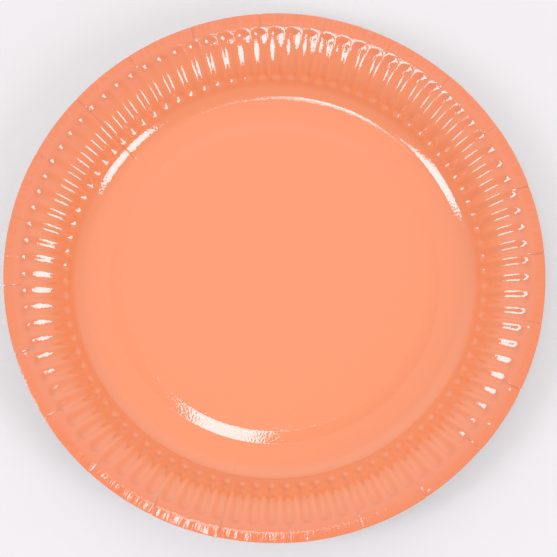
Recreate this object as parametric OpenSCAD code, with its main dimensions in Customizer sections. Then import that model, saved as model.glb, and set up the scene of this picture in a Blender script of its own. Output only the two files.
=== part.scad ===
// Disposable plate pressed from one round blank of coated board.
// The origin is the centre of the resting plane under the base, with +Z up.

/* [Rim] */
// Outside diameter of the rim
rim_d = 230; // [210:1:260]
// Lip, from the crest of the flare out to the edge
lip_w = 5; // [3:0.5:8]
// How far the edge of the lip hangs below the crest
lip_drop = 1; // [0:0.1:2]

/* [Dish] */
// Depth inside, from the crest down to the base
dish_depth = 18.4; // [15:0.2:24]
// Diameter of the base, up to where the heel starts to bend
base_d = 162.6; // [150:0.2:172]
// Radius of the heel, the bend from the base up into the wall
heel_r = 7.7; // [4:0.1:14]
// Straight stretch of wall between the heel and the flare
wall_run = 3; // [0:0.5:6]

/* [Base panel] */
// Diameter of the raised panel in the base
panel_d = 143; // [110:1:148]
// How far the middle of the panel stands above the base
panel_rise = 1.1; // [0.2:0.1:2]
// Width of the shoulder that rolls off round the panel
shoulder_w = 10; // [6:1:30]

/* [Board] */
// Thickness of the pressed board
board_t = 0.45; // [0.3:0.05:0.8]

/* [Flutes] */
// Number of flutes pressed round the flare
flute_count = 90; // [60:2:100]
// Depth of a flute
flute_depth = 1.3; // [0.4:0.1:1.6]
// Length over which the scooped end of a flute reaches its depth
scoop_len = 4.5; // [3.5:0.5:6]
// Plain flare between the flutes and the crest
flute_gap = 1; // [0.5:0.5:3]

/* [Hidden] */

// Points round a plain ring for each flute, and round a fluted ring
PLAIN_STEPS = 1;
FLUTE_STEPS = 6;
// Rings along each stretch of the section
SHOULDER_BANDS = 2;
HEEL_BANDS = 2;
FLUTE_BANDS = 3;

// The wall is an S: the heel bends up from the level base, a short straight stretch follows
// at the steepest slope, and the flare bends back over until it is level at the crest
base_r = base_d / 2;
edge_r = rim_d / 2;
crest_r = edge_r - lip_w;
reach = crest_r - base_r;
wall_slope = 2 * atan(dish_depth / (reach + wall_run));
flare_r = (reach - wall_run * cos(wall_slope)) / sin(wall_slope) - heel_r;
base_z = board_t;
crest_z = base_z + dish_depth;

heel_end_r = base_r + heel_r * sin(wall_slope);
heel_end_z = base_z + heel_r * (1 - cos(wall_slope));

// Length of the flare for each degree that it turns, and of the wall from heel to crest
flare_per_degree = flare_r * PI / 180;
wall_len = wall_run + wall_slope * flare_per_degree;

// The flutes start where the heel ends and stop short of the crest, with a scoop at each end
flute_end = wall_len - flute_gap;
full_start = scoop_len;
full_end = flute_end - scoop_len;

// One station of the section: radius, height of the upper face, slope, share of the
// flute's depth, and points per flute round the ring
function station(r, z, slope, share = 0, steps = PLAIN_STEPS) = [r, z, slope, share, steps];

// The shoulder of the raised panel rolls off along a parabola
function shoulder_station(u) = station(
    panel_d / 2 - shoulder_w * (1 - u),
    base_z + panel_rise * (1 - u * u),
    -atan(2 * panel_rise * u / shoulder_w));

// Its foot is level with the base that the plate rests on
function foot_station() = station(panel_d / 2, base_z, 0);

// The heel bends up from the base to the steepest slope
function heel_station(slope) = station(
    base_r + heel_r * sin(slope),
    base_z + heel_r * (1 - cos(slope)),
    slope);

// Along the wall, at a distance from the end of the heel: first straight, then round the flare
function flare_slope(along) = wall_slope - (along - wall_run) / flare_per_degree;
function wall_station(along, share = 0, steps = PLAIN_STEPS) =
    along < wall_run
    ? station(heel_end_r + along * cos(wall_slope), heel_end_z + along * sin(wall_slope),
              wall_slope, share, steps)
    : station(crest_r - flare_r * sin(flare_slope(along)),
              crest_z - flare_r * (1 - cos(flare_slope(along))),
              flare_slope(along), share, steps);

// The lip falls straight from the crest to the edge
function edge_station() = station(edge_r, crest_z - lip_drop, -atan(lip_drop / lip_w));

section = concat(
    [for (i = [0 : SHOULDER_BANDS - 1]) shoulder_station(i / SHOULDER_BANDS)],
    [foot_station()],
    [for (i = [0 : HEEL_BANDS]) heel_station(wall_slope * i / HEEL_BANDS)],
    [for (i = [0 : FLUTE_BANDS])
        wall_station(full_start + (full_end - full_start) * i / FLUTE_BANDS, 1, FLUTE_STEPS)],
    [wall_station(flute_end), wall_station(wall_len), edge_station()]);

// Depth of the wave round a fluted ring: 1 along a flute, 0 along the ridge beside it
function wave(turn) = (1 + cos(turn * flute_count)) / 2;

// The point of a station at an angle, sunk below the upper face square to the section
function skin_point(s, turn, below) =
    let (sink = below + flute_depth * s[3] * wave(turn),
         r = s[0] + sink * sin(s[2]),
         z = s[1] - sink * cos(s[2]))
    [r * cos(turn), r * sin(turn), z];

function ring_size(s) = flute_count * s[4];

function ring_points(s, below) =
    [for (j = [0 : ring_size(s) - 1]) skin_point(s, 360 * j / ring_size(s), below)];

function skin_points(below) = [for (s = section) each ring_points(s, below)];

// Index of the first point of each ring
function ring_starts(i = 0, start = 0) =
    i == len(section) ? [start] : concat([start], ring_starts(i + 1, start + ring_size(section[i])));
starts = ring_starts();
skin_size = starts[len(section)];

// Point j of ring i, counted round the ring
function at(i, j) = starts[i] + j % ring_size(section[i]);

// Triangles between ring i and the next one, from the middle of each flute to the next
// flute's. Where one ring has more points, two fans and a triangle join it to the other.
function band(i) =
    let (a = section[i][4], b = section[i + 1][4])
    [for (k = [0 : flute_count - 1]) each
        a == b ? [for (j = [k * a : k * a + a - 1]) each
                     [[at(i, j), at(i + 1, j), at(i + 1, j + 1)],
                      [at(i, j), at(i + 1, j + 1), at(i, j + 1)]]]
      : a < b ? concat(
            [for (j = [0 : b / 2 - 1]) [at(i, k), at(i + 1, k * b + j), at(i + 1, k * b + j + 1)]],
            [[at(i, k), at(i + 1, k * b + b / 2), at(i, k + 1)]],
            [for (j = [b / 2 : b - 1]) [at(i, k + 1), at(i + 1, k * b + j), at(i + 1, k * b + j + 1)]])
      : concat(
            [for (j = [0 : a / 2 - 1]) [at(i, k * a + j), at(i + 1, k), at(i, k * a + j + 1)]],
            [[at(i, k * a + a / 2), at(i + 1, k), at(i + 1, k + 1)]],
            [for (j = [a / 2 : a - 1]) [at(i, k * a + j), at(i + 1, k + 1), at(i, k * a + j + 1)]])];

upper_faces = concat(
    [[for (j = [ring_size(section[0]) - 1 : -1 : 0]) at(0, j)]],
    [for (i = [0 : len(section) - 2]) each [for (f = band(i)) [f[0], f[2], f[1]]]]);

// The underside has the same faces the other way round
lower_faces = [for (f = upper_faces) [for (j = [len(f) - 1 : -1 : 0]) f[j] + skin_size]];

last = len(section) - 1;
edge_faces = [for (j = [0 : ring_size(section[last]) - 1]) each
    [[at(last, j), at(last, j + 1), at(last, j) + skin_size],
     [at(last, j + 1), at(last, j + 1) + skin_size, at(last, j) + skin_size]]];

module plate() {
    color("#f5a07a")
    polyhedron(
        points = concat(skin_points(0), skin_points(board_t)),
        faces = concat(upper_faces, lower_faces, edge_faces),
        convexity = 6);
}

plate();
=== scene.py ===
# %% [markdown]
# # A pressed paper plate
# The plate is one round blank of coated board, pressed in a hot die. The die bends the wall up,
# rolls the rim over and gathers the spare board into flutes. This lesson draws the plate's section
# as a slope that changes along its length, sends it round the axis, sinks the flutes and creases
# into it, and closes the shell with a second skin one board thickness below.

# %% Load the frame
import math

import bpy
import numpy as np
from mathutils import Matrix, Vector


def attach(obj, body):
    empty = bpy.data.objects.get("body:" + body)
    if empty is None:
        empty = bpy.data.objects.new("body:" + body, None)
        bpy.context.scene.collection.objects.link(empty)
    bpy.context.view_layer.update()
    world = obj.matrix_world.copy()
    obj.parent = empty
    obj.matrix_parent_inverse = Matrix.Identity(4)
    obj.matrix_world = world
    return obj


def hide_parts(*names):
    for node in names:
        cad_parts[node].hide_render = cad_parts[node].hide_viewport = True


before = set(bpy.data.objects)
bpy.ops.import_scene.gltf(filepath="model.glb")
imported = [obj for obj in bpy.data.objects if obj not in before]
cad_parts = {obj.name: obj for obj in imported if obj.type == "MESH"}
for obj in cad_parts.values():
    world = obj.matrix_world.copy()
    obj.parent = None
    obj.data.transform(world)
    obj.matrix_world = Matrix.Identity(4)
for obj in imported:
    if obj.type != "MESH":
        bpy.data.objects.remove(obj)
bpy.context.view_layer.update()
MM = 0.001

# %% [markdown]
# ## The section
# Seen from the side, the plate is a raised base panel with a rolled shoulder, a level ring that it
# rests on, a heel that bends up, a short straight wall, a flare that bends back over, and a lip
# that falls away and turns down at the edge. A lathe profile could be drawn point by point, but
# then its bends are hard to keep even. Here a slope is steered instead: each stretch has a length
# and the slope that it ends on, and the points are running sums. The quarter-millimetre stretches
# beside a sharp roll keep its smooth shading from spreading over the flat board next to it. Sizes of
# the plate are in millimetres until its points are made, and angles are given in degrees.

# %% Stretches of the section
BOARD = 0.45
RIM_R = 115.0
WALL_SLOPE, ROLL_SLOPE, FLARE_R = 56.0, 10.0, 29.85
FLARE_LOW, FLARE_MID = 4.0, 11.5
flare_length = FLARE_R * math.radians(WALL_SLOPE - ROLL_SLOPE)
flare_top = flare_length - FLARE_LOW - FLARE_MID
# Each stretch has its length in millimetres, the slope it ends on in degrees, and its rings.
stretches = {
    "panel": (60.9, 0.0, 2),
    "panel_edge": (0.8, -1.6, 1),
    "shoulder_top": (4.5, -2.0, 1),
    "shoulder_lead": (0.25, -2.0, 1),
    "shoulder_roll": (0.1, -8.0, 1),
    "shoulder_start": (0.25, -8.2, 1),
    "shoulder": (4.6, -12.2, 3),
    "shoulder_end": (0.25, -12.4, 1),
    "foot": (0.1, 0.0, 1),
    "foot_end": (0.25, 0.0, 1),
    "base": (9.05, 0.0, 2),
    "heel": (0.6, 9.2, 2),
    "heel_roll": (0.8, 10.6, 1),
    "heel_fold": (1.2, 24.0, 3),
    "heel_cone": (3.1, 36.0, 3),
    "heel_rise": (2.6, 51.0, 4),
    "heel_end": (1.9, WALL_SLOPE, 3),
    "wall": (0.6, WALL_SLOPE, 2),
    "flare": (FLARE_LOW, WALL_SLOPE - math.degrees(FLARE_LOW / FLARE_R), 10),
    "flare_mid": (FLARE_MID, ROLL_SLOPE + math.degrees(flare_top / FLARE_R), 8),
    "flare_top": (flare_top, ROLL_SLOPE, 14),
    "lip_round": (1.7, -4.0, 5),
    "lip": (1.8, -5.8, 2),
    "lip_edge": (2.1, -13.2, 3),
    "edge_round": (2.0, -22.0, 2),
}
lengths, end_slopes, ring_counts = zip(*stretches.values())
knots = np.concatenate([[0.0], np.cumsum(lengths)])
slopes = np.radians((0.0,) + end_slopes)
start_of = dict(zip(stretches, knots))
print(len(stretches), "stretches,", knots[-1].round(2), "mm along the section")

# %% Radius and height as running sums
FINE_POINTS = 6001
fine = np.linspace(0.0, knots[-1], FINE_POINTS)
fine_step = fine[1]
fine_slope = np.interp(fine, knots, slopes)
fine_r = np.concatenate([[0.0], np.cumsum(np.cos(fine_slope[1:]) * fine_step)])
fine_z = np.concatenate([[0.0], np.cumsum(np.sin(fine_slope[1:]) * fine_step)])
fine_z += BOARD - np.interp(start_of["heel"], fine, fine_z)
edge_at = np.interp(RIM_R, fine_r, fine)


def section(along):
    """Radius, height and slope of the upper face at lengths along the section from the centre.

    The slope runs straight between the knots; radius and height are the sums of its cosine and
    sine.
    """
    return (np.interp(along, fine, fine_r), np.interp(along, fine, fine_z),
            np.interp(along, knots, slopes))


edge_r, edge_z, _ = section(edge_at)
print("edge at", edge_r.round(2), edge_z.round(2), "crest height", fine_z.max().round(2),
      "crest radius", fine_r[fine_z.argmax()].round(2))

# %% [markdown]
# ## Rings and columns of the grid
# The two parameters are the length along the section and the turn about the axis. Rings lie closer
# where the section bends, as the stretches say. Ten columns carry each flute, and seven stand close
# to every crease, so that a fold half a millimetre wide has points of its own. The random numbers
# start from a fixed seed, so the plate comes out the same each time.

# %% Grid parameters
SEED = 7
FLUTES, COLUMNS_PER_FLUTE = 90, 10
CREASES = 24
CREASE_PITCH, CREASE_START = math.radians(15.0), math.radians(2.0)
CREASE_SCATTER = 0.25
LOOSE_CRACK = math.radians(175.4)
FOLD_COLUMNS = np.radians([-0.5, -0.26, -0.1, 0.0, 0.1, 0.26, 0.5])
FOLD_ROOM = math.radians(0.55)
rng = np.random.default_rng(SEED)

stretch_ends = np.append(knots[1:-1], edge_at)
rings = np.concatenate([np.linspace(first, last, count, endpoint=False)
                        for first, last, count in zip(knots[:-1], stretch_ends, ring_counts)])
rings = np.append(rings[1:], edge_at)

crease_turn = CREASE_START + CREASE_PITCH * np.arange(CREASES)
crease_turn += np.radians(rng.uniform(-CREASE_SCATTER, CREASE_SCATTER, CREASES))
marked_turn = np.append(crease_turn, LOOSE_CRACK)
even_count = FLUTES * COLUMNS_PER_FLUTE
even_turn = np.arange(even_count) * (2 * math.pi / even_count)
near_fold = np.abs(even_turn[:, None] - marked_turn).min(1) < FOLD_ROOM
fold_turn = (marked_turn[:, None] + FOLD_COLUMNS).ravel()
columns = np.sort(np.concatenate([even_turn[~near_fold], fold_turn]))
ring_count, column_count = len(rings), len(columns)
print(ring_count, "rings,", column_count, "columns")

# %% [markdown]
# ## Flutes
# Each flute is a scooped groove across the wall and the flare, with rounded ends. Its depth follows
# a raised cosine of the distance from the groove's middle line. Past the ends of that line the
# distance also grows along the section, so the same cosine rounds off both ends. Cutting ninety
# grooves with booleans would leave ragged faces; a formula on the grid keeps them even. Pressed
# board isn't, so every flute gets a slightly different depth and sits a little in or out.

# %% Flutes as a depth over the grid
FLUTE_DEPTH, FLUTE_WIDTH = 1.12, 1.035
FLUTE_IN, SCOOP_IN, SCOOP_OUT = -1.65, 3.8, 3.85
DEPTH_SPREAD, SHIFT_SPREAD = 0.03, 0.12
depth_of = FLUTE_DEPTH * (1 + rng.normal(0, DEPTH_SPREAD, FLUTES))
shift_of = rng.normal(0, SHIFT_SPREAD, FLUTES)


def wrapped(turn):
    """The same turn, brought between minus and plus half a turn."""
    return (turn + math.pi) % (2 * math.pi) - math.pi


def flute_depth(along, turn):
    """Depth of the flutes below the plain section.

    w is the distance from a flute's middle line as an angle, with the distance past the line's
    ends added square to it; the depth is a raised cosine of w, and 0 from half a turn on.
    """
    number = np.round(turn * FLUTES / (2 * math.pi)).astype(int) % FLUTES
    phase = wrapped(turn * FLUTES)
    up = along - start_of["flare"] - shift_of[number]
    first, last = FLUTE_IN + SCOOP_IN, flare_length - SCOOP_OUT
    past = np.where(up < first, (first - up) / SCOOP_IN, np.maximum(up - last, 0) / SCOOP_OUT)
    w = np.sqrt((phase / FLUTE_WIDTH) ** 2 + (math.pi * past) ** 2)
    return depth_of[number] * (1 + np.cos(np.minimum(w, math.pi))) / 2


print("flutes", depth_of.min().round(2), "to", depth_of.max().round(2), "mm deep")

# %% [markdown]
# ## Score creases
# The blank is scored with short radial lines before it is pressed, and the board folds there first.
# Each crease is a narrow dent that is deepest on the lip. Some run down the wall, and one of them
# nicks the heel, where it cuts a long highlight in two. A bump in the finish would draw the line,
# but a dent in the mesh also shows along the edge and from the side.

# %% Creases as a depth over the grid
CREASE_HALF, CREASE_DEPTH = 0.3, 0.1
CREASE_BEGIN, CREASE_FULL = 3.0, 0.5
WALL_BEGIN, WALL_FULL = 0.5, 2.5
LIP_WEAK, LIP_STRONG = 0.4, 1.0
WALL_LEVELS, WALL_SHARES = (0.0, 0.15, 0.4), (0.5, 0.3, 0.2)
PLAIN_WALL, NICKED_WALL, NICK_STRENGTH = slice(1, 3), slice(8, 11), (0.15, 1.0, 0.15)
lip_strength = rng.uniform(LIP_WEAK, LIP_STRONG, CREASES)
wall_strength = rng.choice(WALL_LEVELS, CREASES, p=WALL_SHARES)
wall_strength[NICKED_WALL] = NICK_STRENGTH
wall_strength[PLAIN_WALL] = 0.0


def fade(value, low, high):
    """0 below low, 1 above high, and a smooth S between them."""
    t = np.clip((value - low) / (high - low), 0, 1)
    return t * t * (3 - 2 * t)


def crease_distance(turn):
    """Number of the nearest crease and the signed turn away from it."""
    number = np.round((turn - CREASE_START) / CREASE_PITCH).astype(int) % CREASES
    return number, wrapped(turn - crease_turn[number])


def near_lip(along):
    """0 on most of the flare, and 1 from just before the crest to the edge."""
    return fade(along, start_of["lip_round"] - CREASE_BEGIN, start_of["lip_round"] - CREASE_FULL)


def crease_depth(along, turn, radius):
    """Depth of the creases: a bell across the fold, strong on the lip and fainter down the wall."""
    number, away = crease_distance(turn)
    bell = np.exp(-(away * radius / CREASE_HALF) ** 2)
    on_lip = near_lip(along) * lip_strength[number]
    on_wall = fade(along, start_of["heel"] - WALL_BEGIN, start_of["heel"] + WALL_FULL)
    return CREASE_DEPTH * bell * np.maximum(on_lip, on_wall * wall_strength[number])


print(np.count_nonzero(wall_strength), "of", CREASES, "creases run down the wall")

# %% [markdown]
# ## The edge
# A cut and pressed edge isn't a true circle. It steps a little at each crease, has a small notch
# there, and between creases it bows in and out. The lip also rises and falls by a fraction of a
# millimetre. A few sine waves of low order make the slow bows without any visible rhythm.

# %% Wander of the lip
STEP_SPREAD, STEP_BLEND = 0.08, 1.5
NOTCH_HALF, NOTCH_DEPTH = 0.4, 0.25
WAVE_ORDERS = np.arange(2, 8)
WAVE_OUT, WAVE_UP = 0.05, 0.02
step_of = rng.normal(0, STEP_SPREAD, CREASES)
wave_phase = rng.uniform(0, 2 * math.pi, len(WAVE_ORDERS))


def lip_wander(along, turn):
    """Outward and upward shift of the lip: steps between creases, notches at them, long waves."""
    number, away = crease_distance(turn)
    side = (number - (away < 0)) % CREASES
    waves = np.sin(WAVE_ORDERS[:, None, None] * turn + wave_phase[:, None, None]).sum(0)
    steps = step_of[side] * np.tanh(np.abs(away) * RIM_R / STEP_BLEND)
    notch = np.exp(-(away * RIM_R / NOTCH_HALF) ** 2) * lip_strength[number]
    share = fade(along, start_of["lip_round"], edge_at)
    outward = share * (steps - NOTCH_DEPTH * notch + WAVE_OUT * waves)
    upward = share * WAVE_UP * waves
    return outward, upward


print("edge steps up to", np.abs(step_of).max().round(2), "mm")

# %% [markdown]
# ## The two skins
# Every point is pushed from the plain section, square to it, by the flutes and creases. The lower
# skin is the same push plus the board's thickness, on a quarter of the rings. A Solidify modifier
# would copy every ring, and nothing that fine shows from below. A strip of faces along the cut
# edge and a point at each pole close the shell.

# %% Points of both skins
UNDER_EVERY = 4


def skin(along, turn, below):
    """Points of a skin that lies a distance below the upper face, in metres, rings by columns.

    A point moves below the section by the sum of that distance, the flutes and the creases,
    outwards by the sine of the slope and downwards by its cosine.
    """
    along, turn = along[:, None], turn[None, :]
    r, z, slope = section(along)
    sink = below + flute_depth(along, turn) + crease_depth(along, turn, r)
    outward, upward = lip_wander(along, turn)
    radius = r + sink * np.sin(slope) + outward
    height = z - sink * np.cos(slope) + upward
    return np.stack([radius * np.cos(turn), radius * np.sin(turn), height], -1) * MM


under_rings = np.append(rings[:-1:UNDER_EVERY], edge_at)
under_count = len(under_rings)
upper = skin(rings, columns, 0.0)
lower = skin(under_rings, columns, BOARD)
panel_z = section(np.array(0.0))[1]
poles = np.array([[0, 0, panel_z], [0, 0, panel_z - BOARD]]) * MM
points = np.concatenate([upper.reshape(-1, 3), lower.reshape(-1, 3), poles])
print("upper skin", upper.shape, "lower skin", lower.shape)


# %% Faces of the closed shell
def grid_faces(rows, first):
    """Quads between neighbouring rings, closed round the axis, facing up for growing rings."""
    i, j = np.meshgrid(np.arange(rows - 1), np.arange(column_count), indexing="ij")
    a = first + i * column_count + j
    b = first + i * column_count + (j + 1) % column_count
    return np.stack([a, a + column_count, b + column_count, b], -1).reshape(-1, 4)


lower_first = ring_count * column_count
pole_up = lower_first + under_count * column_count
pole_down = pole_up + 1
rim = lower_first - column_count
under_rim = pole_up - column_count

here = np.arange(column_count)
beside = (here + 1) % column_count
upper_quads = grid_faces(ring_count, 0)
upper_fan = np.stack([here, beside, np.full(column_count, pole_up)], -1)
lower_quads = grid_faces(under_count, lower_first)[:, ::-1]
lower_fan = np.stack([lower_first + beside, lower_first + here,
                      np.full(column_count, pole_down)], -1)
edge_quads = np.stack([rim + here, under_rim + here, under_rim + beside, rim + beside], -1)
faces = [face for group in (upper_quads, upper_fan, lower_quads, lower_fan, edge_quads)
         for face in group.tolist()]
printed = len(upper_quads) + len(upper_fan)
print("triangles", sum(len(face) - 2 for face in faces))

# %% Mesh
SHARP_ANGLE = math.radians(55)
mesh = bpy.data.meshes.new("pressed_plate")
mesh.from_pydata(points.tolist(), [], faces)
plate = bpy.data.objects.new("pressed_plate", mesh)
bpy.context.scene.collection.objects.link(plate)
mesh.polygons.foreach_set("use_smooth", np.ones(len(faces), bool))
mesh.set_sharp_from_angle(angle=SHARP_ANGLE)
print("mesh of", len(mesh.vertices), "points")

# %% [markdown]
# ## Marks that the finish reads
# A shader can't know where a crease or the lip is, so the points of the upper skin carry it as
# attributes. "place" is the place on the rim, as a circle and the length along the section: grain
# and ribs that follow it aren't stretched by the flutes. "fold" is the strength of the dark line in
# a crease, which paints the shade in the fold together with the ink that breaks there; it is full on
# the lip and faint on the wall. A third mark grows over the outer half of the flare and is full
# where the lip starts to roll over; there the coral is made a shade darker. "lip" is 1 on the lip.

# %% Place, folds, darker outer part and lip
# Share of a crease's painted shade and broken ink that shows on the wall
WALL_FOLD_DARK = 0.35
# Where along the flare the coral starts to turn a shade darker, as a share of the flare
OUTER_DARKENING_FROM = 0.45
LIP_BEFORE, LIP_AFTER = 0.4, 0.7


def mark(name, values):
    """A point attribute with values over the upper skin's rings and columns, and 0 elsewhere."""
    padded = np.zeros((len(points),) + values.shape[2:], np.float32)
    padded[:lower_first] = values.reshape((lower_first,) + values.shape[2:])
    kind, field = ("FLOAT", "value") if values.ndim == 2 else ("FLOAT_VECTOR", "vector")
    mesh.attributes.new(name, kind, "POINT").data.foreach_set(field, padded.ravel())


grid_turn = np.broadcast_to(columns, (ring_count, column_count))
grid_degrees = np.degrees(grid_turn)
grid_along = np.broadcast_to(rings[:, None], (ring_count, column_count))
grid_r = section(rings[:, None])[0]
mark("place", np.stack([RIM_R * np.cos(grid_turn), RIM_R * np.sin(grid_turn), grid_along], -1))
# The dark line in a crease is painted shade of the fold with its broken ink: the dent's bell, full
# on the lip and a smaller share on the wall.
fold = crease_depth(rings[:, None], columns[None, :], grid_r) / CREASE_DEPTH
fold *= WALL_FOLD_DARK + (1 - WALL_FOLD_DARK) * near_lip(grid_along)
mark("fold", fold)
# Over the outer half of the flare and out to the edge the coral is made a shade darker.
pressed_start = start_of["flare"] + OUTER_DARKENING_FROM * flare_length
mark("pressed", fade(grid_along, pressed_start, start_of["lip_round"]))
lip = fade(grid_along, start_of["lip"] - LIP_BEFORE, start_of["lip"] + LIP_AFTER)
mark("lip", lip)
print("folds up to", fold.max().round(2))

# %% [markdown]
# ## Wear
# Board cracks where it is folded and the ink breaks with it, so some creases are white on the lip,
# and there is one crack with no crease. A short stretch of the edge is worn white, two flutes have
# a grey scuff at their outer end, and the gloss of the lip is rubbed, most of all along the front
# left. Each mark is a soft band or spot here; the shader makes it ragged.

# %% Cracks, worn edge, scuffs and rubbed lip
CRACKED = [10, 12, 13, 14, 18, 19, 20, 21]
CRACK_HALF, CRACK_BEGIN = 0.5, 2.5
WORN_EDGE, WORN_WIDTH = (316.0, 318.0, 324.0, 326.0), 0.1
SCUFF_TURNS, SCUFF_R, SCUFF_ACROSS, SCUFF_LONG = (197.0, 241.5), 107.0, 0.8, 1.4
RUB_LEAST, HANDLED = 0.45, (200.0, 222.0, 272.0, 295.0)


def band(value, start, full, leave, end):
    """0 outside start and end, 1 from full to leave, and a smooth S on either side."""
    return fade(value, start, full) * (1 - fade(value, leave, end))


crack_turn = np.append(crease_turn[CRACKED], LOOSE_CRACK)
crack_away = np.abs(wrapped(grid_turn[..., None] - crack_turn)).min(-1) * RIM_R
crack = np.exp(-(crack_away / CRACK_HALF) ** 2)
crack = crack * fade(grid_along, start_of["lip_round"] - CRACK_BEGIN, start_of["lip_round"])
worn = band(grid_degrees, *WORN_EDGE) * (grid_along > edge_at - WORN_WIDTH)
mark("crack", np.maximum(crack, worn))

scuff_long = ((grid_r - SCUFF_R) / SCUFF_LONG) ** 2
scuff = sum(np.exp(-((grid_turn - math.radians(turn)) * SCUFF_R / SCUFF_ACROSS) ** 2 - scuff_long)
            for turn in SCUFF_TURNS)
mark("scuff", scuff)
mark("rub", lip * (RUB_LEAST + (1 - RUB_LEAST) * band(grid_degrees, *HANDLED)))
print(len(crack_turn), "cracks and", len(SCUFF_TURNS), "scuffs")

# %% [markdown]
# ## Small tools for the finishes
# A finish is a net of nodes, which could be drawn by hand in the shader editor. Written down, it
# can be read as a few lines of arithmetic: each function adds one node to the net that "nodes" and
# "links" stand for at the time. The first net is the printed face, and it starts with a grain.

# %% A new finish
GRAIN_SCALE, GRAIN_DETAIL = 2.2, 2.0


def new_material(name):
    """An empty node material, with its nodes, its links and its Principled shader."""
    material = bpy.data.materials.new(name)
    material.use_nodes = True
    tree = material.node_tree
    return material, tree.nodes, tree.links, tree.nodes["Principled BSDF"]


def feed(socket, value):
    """Link a socket to another node's output, or set it to a plain value."""
    if isinstance(value, bpy.types.NodeSocket):
        links.new(value, socket)
    else:
        socket.default_value = value


def math_node(operation, *values):
    """One step of arithmetic on values, each of them a socket or a number."""
    node = nodes.new("ShaderNodeMath")
    node.operation = operation
    for socket, value in zip(node.inputs, values):
        feed(socket, value)
    return node.outputs["Value"]


def mesh_mark(name, output="Fac"):
    """One of the mesh's attributes."""
    node = nodes.new("ShaderNodeAttribute")
    node.attribute_name = name
    return node.outputs[output]


def noise(vector, scale, detail):
    """A noise texture on a vector."""
    node = nodes.new("ShaderNodeTexNoise")
    node.inputs["Scale"].default_value = scale
    node.inputs["Detail"].default_value = detail
    links.new(vector, node.inputs["Vector"])
    return node.outputs["Fac"]


coral, nodes, links, shader = new_material("printed_coral")
rim_place = mesh_mark("place", "Vector")
grain = noise(rim_place, GRAIN_SCALE, GRAIN_DETAIL)
print(coral.name, "has", len(nodes), "nodes to start with")

# %% [markdown]
# ## Print
# The face is printed in one flat coral. Over the outer flare and the lip it is made a shade darker,
# and in the creases darker still, a painted shade of the fold together with the ink that breaks
# there. Where the coat is cracked or chipped, the white board shows: the cracks, the worn edge and
# six small flecks. The grain breaks up the edge of every mark, because torn board is never smooth. A
# painted picture could hold all this, but marks and noise stay sharp at any distance and need no
# unwrapping.

# %% Where the ink is torn
CRACK_WEIGHT, CRACK_LEVEL, CRACK_CONTRAST = 0.75, 1.25, 8.0
FLECK_SIZE, FLECK_LEVEL, FLECK_CONTRAST = 2.2, 0.65, 5.0
# Each fleck has its turn in degrees and its radius in millimetres.
FLECKS = ((322.3, 111.0), (331.0, 111.0), (345.5, 109.8), (197.5, 110.6), (275.5, 113.8),
          (303.0, 113.2))


def above(value, level, contrast):
    """How far a value stands above a level, times a contrast."""
    return math_node("MULTIPLY", math_node("SUBTRACT", value, level), contrast)


def vector_node(operation, first, second):
    """One step of vector arithmetic that gives a number."""
    node = nodes.new("ShaderNodeVectorMath")
    node.operation = operation
    feed(node.inputs[0], first)
    feed(node.inputs[1], second)
    return node.outputs["Value"]


def clamped(value):
    """A value held between 0 and 1."""
    node = nodes.new("ShaderNodeClamp")
    feed(node.inputs["Value"], value)
    return node.outputs["Result"]


cracking = math_node("ADD", math_node("MULTIPLY", mesh_mark("crack"), CRACK_WEIGHT), grain)
torn = above(cracking, CRACK_LEVEL, CRACK_CONTRAST)
ragged_size = math_node("MULTIPLY", grain, FLECK_SIZE)
for turn, radius in FLECKS:
    t = math.radians(turn)
    spot = (RIM_R * math.cos(t), RIM_R * math.sin(t), np.interp(radius, fine_r, fine))
    inside = math_node("SUBTRACT", ragged_size, vector_node("DISTANCE", rim_place, spot))
    torn = math_node("MAXIMUM", torn, above(inside, FLECK_LEVEL, FLECK_CONTRAST))
white_mark = clamped(torn)
print("torn ink with", len(FLECKS), "flecks")

# %% Ink colours, and the painted shade of the folds
# After the print come a coral a shade darker for the outer flare and lip, and a deep colour for the
# creases that paints the shade in the fold along with its broken ink.
PRINT, OUTER_CORAL, FOLD_SHADE_AND_INK = (0.955, 0.266, 0.087, 1), (0.88, 0.222, 0.075, 1), (0.66, 0.15, 0.053, 1)
BARE, GREY = (0.92, 0.84, 0.80, 1), (0.50, 0.33, 0.26, 1)


def mix_colour(factor, first, second):
    """A colour mixed from two by a factor."""
    node = nodes.new("ShaderNodeMix")
    node.data_type = "RGBA"
    feed(node.inputs["Factor"], factor)
    feed(node.inputs["A"], first)
    feed(node.inputs["B"], second)
    return node.outputs["Result"]


# The outer flare and lip are made a shade darker.
ink = mix_colour(mesh_mark("pressed"), PRINT, OUTER_CORAL)
# The creases get their painted shade, with the ink broken in them.
ink = mix_colour(mesh_mark("fold"), ink, FOLD_SHADE_AND_INK)
ink = mix_colour(math_node("MULTIPLY", mesh_mark("scuff"), grain), ink, GREY)
feed(shader.inputs["Base Color"], mix_colour(white_mark, ink, BARE))
print("inked face has", len(nodes), "nodes")

# %% [markdown]
# ## Gloss
# A clear gloss coat lies over the print. Up close it has the faint orange peel of coated board,
# which breaks the edge of every reflection into specks. On the lip the pressing leaves fine radial
# ribs, drawn here by a noise that is stretched along the section. Where the lip is rubbed, the
# coat is gone between the ribs, so its reflection turns into a row of short ticks.

# %% Clear coat, peel and ribs
PRINT_IOR, COAT_IOR, COAT_ROUGH, PRINT_ROUGH = 1.5, 1.9, 0.05, 0.08
PEEL_SCALE, PEEL_DETAIL, PEEL_HEIGHT = 1100.0, 0.5, 0.00004
RIB_SCALE, RIB_DETAIL, RIB_HEIGHT, RIB_STRETCH = 1.1, 1.0, 0.00004, 0.12
RIB_TOP, RIB_CONTRAST, RUB_ROUGH = 0.62, 7.0, 0.5


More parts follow.
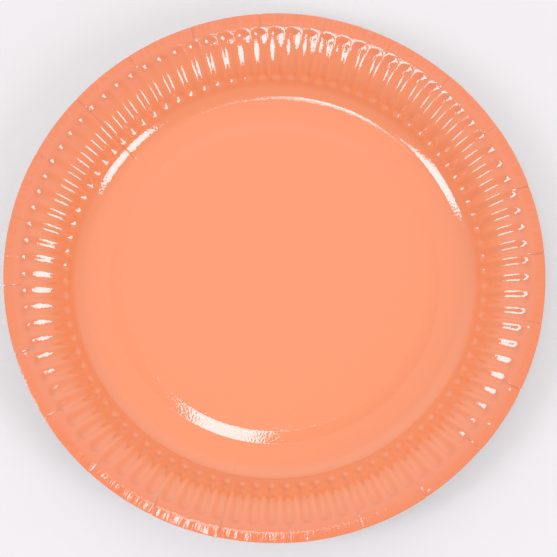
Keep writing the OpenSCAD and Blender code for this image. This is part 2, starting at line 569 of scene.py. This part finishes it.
def bump(height, distance, strength=1.0, before=None):
    """A normal tilted by a bump of a height in metres, stacked on the one before."""
    node = nodes.new("ShaderNodeBump")
    node.inputs["Distance"].default_value = distance
    node.inputs["Strength"].default_value = strength
    links.new(height, node.inputs["Height"])
    if before is not None:
        links.new(before, node.inputs["Normal"])
    return node.outputs["Normal"]


shader.inputs["IOR"].default_value = PRINT_IOR
shader.inputs["Coat IOR"].default_value = COAT_IOR
shader.inputs["Coat Roughness"].default_value = COAT_ROUGH
object_place = nodes.new("ShaderNodeTexCoord").outputs["Object"]
peel = bump(noise(object_place, PEEL_SCALE, PEEL_DETAIL), PEEL_HEIGHT)
rib_place = nodes.new("ShaderNodeMapping")
rib_place.inputs["Scale"].default_value = (1.0, 1.0, RIB_STRETCH)
feed(rib_place.inputs["Vector"], rim_place)
ribs = noise(rib_place.outputs["Vector"], RIB_SCALE, RIB_DETAIL)
gloss_normal = bump(math_node("MULTIPLY", ribs, mesh_mark("lip")), RIB_HEIGHT, before=peel)
feed(shader.inputs["Normal"], gloss_normal)
feed(shader.inputs["Coat Normal"], gloss_normal)

between_ribs = clamped(math_node("MULTIPLY", math_node("SUBTRACT", RIB_TOP, ribs), RIB_CONTRAST))
rubbed = math_node("MULTIPLY", between_ribs, mesh_mark("rub"))
feed(shader.inputs["Coat Weight"], math_node("SUBTRACT", 1.0, rubbed))
dull = math_node("MULTIPLY", math_node("MAXIMUM", white_mark, rubbed), RUB_ROUGH)
feed(shader.inputs["Roughness"], math_node("ADD", dull, PRINT_ROUGH))
print("printed face has", len(nodes), "nodes")

# %% [markdown]
# ## Bare board
# The underside and the cut edge are uncoated board: warm white, matt, with a trace of fibre. One
# noise varies the white a little and a finer one gives the surface some tooth.

# %% Bare board, and both finishes on the plate
FIBRE_DARK, FIBRE_LIGHT = (0.80, 0.79, 0.75, 1), (0.88, 0.87, 0.84, 1)
FIBRE_SCALE, TOOTH_SCALE, FIBRE_DETAIL = 700.0, 2500.0, 3.0
TOOTH_HEIGHT, TOOTH_STRENGTH, BARE_ROUGH = 0.00003, 0.6, 0.85

bare, nodes, links, shader = new_material("bare_board")
object_place = nodes.new("ShaderNodeTexCoord").outputs["Object"]
fibre = noise(object_place, FIBRE_SCALE, FIBRE_DETAIL)
tooth = noise(object_place, TOOTH_SCALE, FIBRE_DETAIL)
feed(shader.inputs["Base Color"], mix_colour(fibre, FIBRE_DARK, FIBRE_LIGHT))
feed(shader.inputs["Normal"], bump(tooth, TOOTH_HEIGHT, TOOTH_STRENGTH))
feed(shader.inputs["Roughness"], BARE_ROUGH)

mesh.materials.append(coral)
mesh.materials.append(bare)
is_bare = np.arange(len(faces)) >= printed
mesh.polygons.foreach_set("material_index", is_bare.astype(np.int32))
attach(plate, "root")
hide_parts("plate")
print("materials:", [material.name for material in mesh.materials])

# %% [markdown]
# ## Floor
# A plain pale matt floor catches the plate's shadow and throws light back under the rim. One large
# square is enough, because the camera sees no edge of it.

# %% Floor
FLOOR_HALF, FLOOR_ROUGH = 3.0, 0.9
FLOOR_COLOUR = (0.84, 0.815, 0.80, 1)
corners = [(-FLOOR_HALF, -FLOOR_HALF, 0), (FLOOR_HALF, -FLOOR_HALF, 0),
           (FLOOR_HALF, FLOOR_HALF, 0), (-FLOOR_HALF, FLOOR_HALF, 0)]
floor_mesh = bpy.data.meshes.new("floor")
floor_mesh.from_pydata(corners, [], [(0, 1, 2, 3)])
floor = bpy.data.objects.new("floor", floor_mesh)
bpy.context.scene.collection.objects.link(floor)
pale, nodes, links, shader = new_material("pale_floor")
feed(shader.inputs["Base Color"], FLOOR_COLOUR)
feed(shader.inputs["Roughness"], FLOOR_ROUGH)
floor_mesh.materials.append(pale)
print("floor", 2 * FLOOR_HALF, "m across")

# %% [markdown]
# ## Lights
# Gloss only shows what it mirrors, so the lights are laid out as things to mirror. Soft lights to
# the left and right, like two windows, draw the pairs of streaks in the flutes. A smaller light
# above and in front makes the highlight on the base, and a thin strip nearly overhead draws a
# thin line on the shoulder. All four have a slightly cool daylight tint, which keeps the highlights
# white over the coral. Each is set by the direction and the angular size seen from the plate; the
# azimuths are those of the picture, and one small turn brings them to the plate's own axes.

# %% Soft lights
PHOTO_TURN = -1.46
DAYLIGHT = (1.0, 0.98, 1.13)
NEAR, FAR = 3.0, 5.0


def direction(zenith, azimuth):
    """Unit vector towards a zenith angle and an azimuth, in degrees."""
    z, a = math.radians(zenith), math.radians(azimuth)
    return Vector((math.sin(z) * math.cos(a), math.sin(z) * math.sin(a), math.cos(z)))


def looking(away, turn, aim, distance):
    """Matrix of a lamp or camera that looks at a point from a distance along a direction.

    Its X lies level and its Y rises, and both are then turned about the line of sight.
    """
    side = Vector((0, 0, 1)).cross(away).normalized()
    rise = away.cross(side)
    c, s = math.cos(math.radians(turn)), math.sin(math.radians(turn))
    axes = Matrix((side * c + rise * s, rise * c - side * s, away)).transposed().to_4x4()
    return Matrix.Translation(aim + away * distance) @ axes


def soft_light(name, zenith, azimuth, wide, tall, turn, radiance, distance):
    """A rectangular light of an angular width and height, aimed at the plate from a direction.

    Its power is radiance times area times pi, so the radiance is what a mirror would show.
    """
    lamp = bpy.data.lights.new(name, "AREA")
    lamp.shape = "RECTANGLE"
    lamp.size = 2 * distance * math.tan(math.radians(wide / 2))
    lamp.size_y = 2 * distance * math.tan(math.radians(tall / 2))
    lamp.energy = radiance * lamp.size * lamp.size_y * math.pi
    lamp.color = DAYLIGHT
    holder = bpy.data.objects.new(name, lamp)
    bpy.context.scene.collection.objects.link(holder)
    away = direction(zenith, azimuth + PHOTO_TURN)
    holder.matrix_world = looking(away, turn, Vector((0, 0, 0)), distance)
    print(name, "of", round(lamp.size, 2), "by", round(lamp.size_y, 2), "m")


soft_light("left_light", 46.8, 196.4, 16.8, 27, -7.4, 4.3, NEAR)
soft_light("right_light", 60.4, -29.9, 22.0, 29, -4.2, 4.3, NEAR)
soft_light("top_light", 14.2, 233.0, 12.3, 17, 23, 4.1, FAR)
soft_light("strip_light", 2.7, 200.0, 11, 2.5, -122, 3.2, FAR)

# %% [markdown]
# ## Sky
# Everything else that the gloss mirrors is a plain white sky. It is brighter towards the back and a
# little dimmer near the horizon, so that the flutes keep some contrast all the way round. A picture
# of a room would do as well, but a formula of the direction is easier to steer.

# %% Graded sky
SKY_LOW, SKY_RISE, SKY_POWER = 0.565, 0.47, 3.0
BRIGHT_ZENITH, BRIGHT_AZIMUTH = 60.0, 98.0
HORIZON_DIM, HORIZON_LOW, HORIZON_HIGH = 0.85, 0.25, 0.40

world = bpy.data.worlds.new("studio")
bpy.context.scene.world = world
world.use_nodes = True
nodes, links = world.node_tree.nodes, world.node_tree.links
sky_direction = nodes.new("ShaderNodeTexCoord").outputs["Generated"]
bright_side = direction(BRIGHT_ZENITH, BRIGHT_AZIMUTH + PHOTO_TURN)
towards = vector_node("DOT_PRODUCT", sky_direction, bright_side)
facing = math_node("MULTIPLY_ADD", towards, 0.5, 0.5)
glow = math_node("MULTIPLY", math_node("POWER", facing, SKY_POWER), SKY_RISE)

height_of = nodes.new("ShaderNodeSeparateXYZ")
feed(height_of.inputs["Vector"], sky_direction)
horizon = nodes.new("ShaderNodeMapRange")
horizon.interpolation_type = "SMOOTHSTEP"
feed(horizon.inputs["Value"], height_of.outputs["Z"])
feed(horizon.inputs["From Min"], HORIZON_LOW)
feed(horizon.inputs["From Max"], HORIZON_HIGH)
feed(horizon.inputs["To Min"], HORIZON_DIM)
feed(horizon.inputs["To Max"], 1.0)
level = math_node("MULTIPLY", math_node("ADD", glow, SKY_LOW), horizon.outputs["Result"])
feed(nodes["Background"].inputs["Color"], (1, 1, 1, 1))
feed(nodes["Background"].inputs["Strength"], level)
print("sky from", SKY_LOW, "to", SKY_LOW + SKY_RISE)

# %% [markdown]
# ## Camera
# The camera looks down from in front, 12.6 degrees off the vertical and rolled a little. Its focal
# length and picture centre are in pixels, as they come out when a camera is worked out from the
# perspective of the plate's circles at their different heights.

# %% Camera
FRAME_PX = 557
FOCAL_PX, CENTRE_X, CENTRE_Y = 1878, 274.1, 270.3
TILT, TURN, ROLL = 12.59, -87.98, 3.48
DISTANCE = 6.93 * RIM_R * MM
SENSOR_WIDTH = 36.0
camera_data = bpy.data.cameras.new("camera")
camera_data.sensor_width = SENSOR_WIDTH
camera_data.lens = FOCAL_PX / FRAME_PX * SENSOR_WIDTH
camera_data.shift_x = (FRAME_PX / 2 - CENTRE_X) / FRAME_PX
camera_data.shift_y = (CENTRE_Y - FRAME_PX / 2) / FRAME_PX
camera = bpy.data.objects.new("camera", camera_data)
bpy.context.scene.collection.objects.link(camera)
aim = Vector((0, 0, edge_z * MM))
camera.matrix_world = looking(direction(TILT, TURN), -ROLL, aim, DISTANCE)
bpy.context.scene.camera = camera
bpy.context.scene.view_settings.view_transform = "Standard"
print("camera", round(DISTANCE, 3), "m from the plate")
